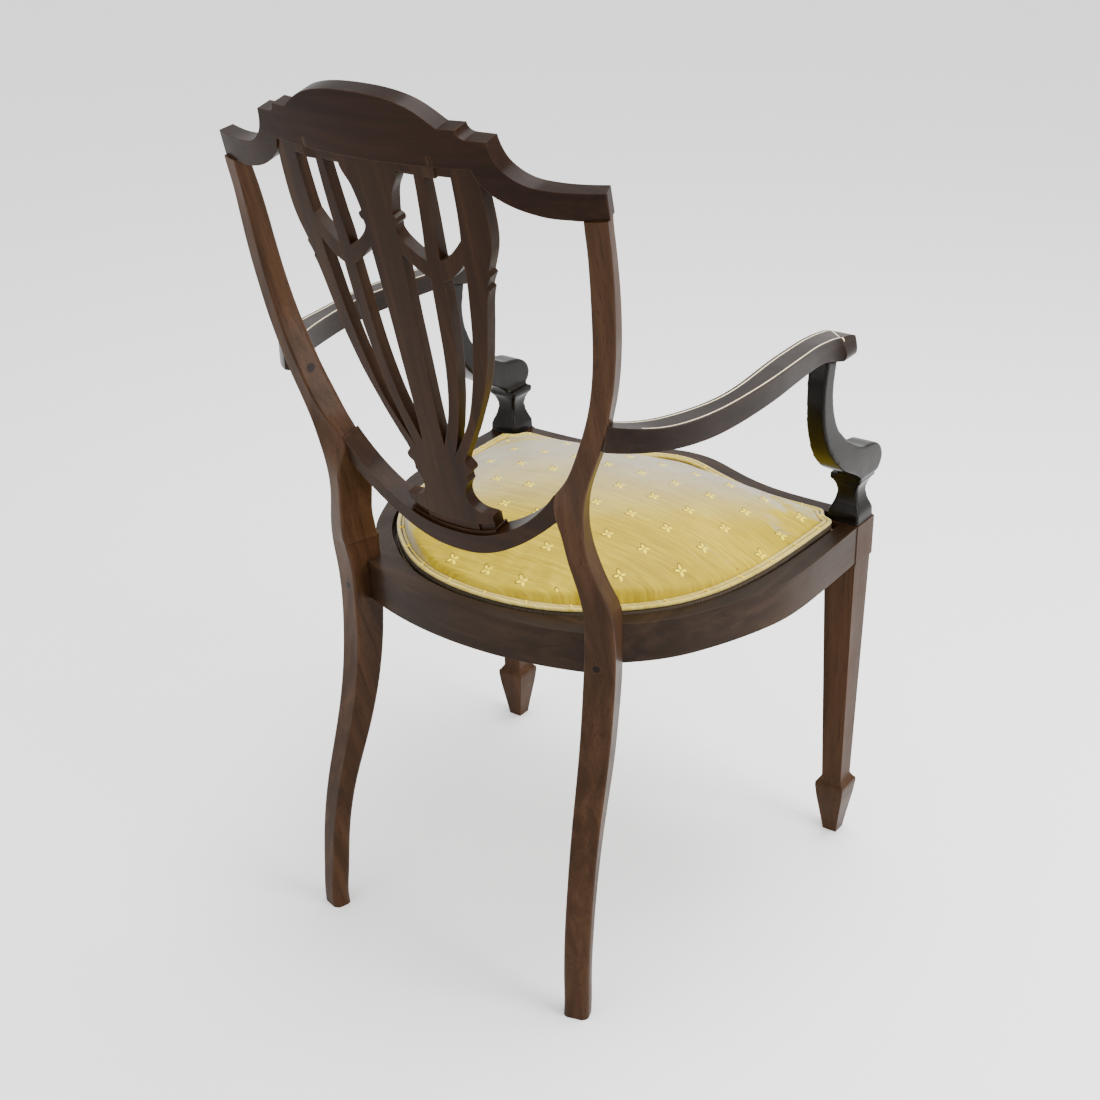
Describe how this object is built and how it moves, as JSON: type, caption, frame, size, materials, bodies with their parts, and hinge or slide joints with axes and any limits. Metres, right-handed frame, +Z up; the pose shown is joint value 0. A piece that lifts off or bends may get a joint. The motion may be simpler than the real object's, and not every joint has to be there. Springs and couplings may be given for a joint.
{
  "type": "shield back armchair",
  "caption": "Open armchair with a pierced shield back, curved arms on scrolled supports, tapered spade-foot front legs and a crowned upholstered seat.",
  "frame": {"origin": "on the floor, under the centre of the chair's overall box", "axes": "+Z up, the chair faces -Y, +X is the sitter's left"},
  "size_m": [0.5276, 0.5906, 0.9759],
  "materials": {
    "mahogany": "French polished dark mahogany, glossy, straight grain with fine dark pores",
    "secondary_wood": "plain sawn secondary wood, matt",
    "stringing": "pale boxwood line, polished",
    "silk_cover": "gold silk with small woven cross sprigs, grey lilac sheen at a low angle",
    "stuffing": "calico covered hair stuffing",
    "webbing": "woven jute webbing",
    "hessian": "open hessian",
    "screw_steel": "aged steel"
  },
  "bodies": {
    "root": {"arm_left": "mahogany", "arm_right": "mahogany", "arm_screws": "screw_steel", "arm_stringing_left": "stringing", "arm_stringing_right": "stringing", "arm_support_left": "mahogany", "arm_support_right": "mahogany", "corner_block_front_left": "secondary_wood", "corner_block_front_right": "secondary_wood", "corner_block_rear_left": "secondary_wood", "corner_block_rear_right": "secondary_wood", "corner_block_screws": "screw_steel", "crest_rail": "mahogany", "front_leg_left": "mahogany", "front_leg_right": "mahogany", "front_seat_rail": "mahogany", "rail_screws": "screw_steel", "rear_post_left": "mahogany", "rear_post_right": "mahogany", "rear_seat_rail": "mahogany", "screw_plugs": "mahogany", "seat_cover": "silk_cover", "seat_hessian": "hessian", "seat_piping": "silk_cover", "seat_stuffing": "stuffing", "seat_webbing": "webbing", "shield_bottom_rail": "mahogany", "side_seat_rail_left": "mahogany", "side_seat_rail_right": "mahogany", "splat": "mahogany", "splat_shoe": "mahogany"}
  },
  "joints": []
}
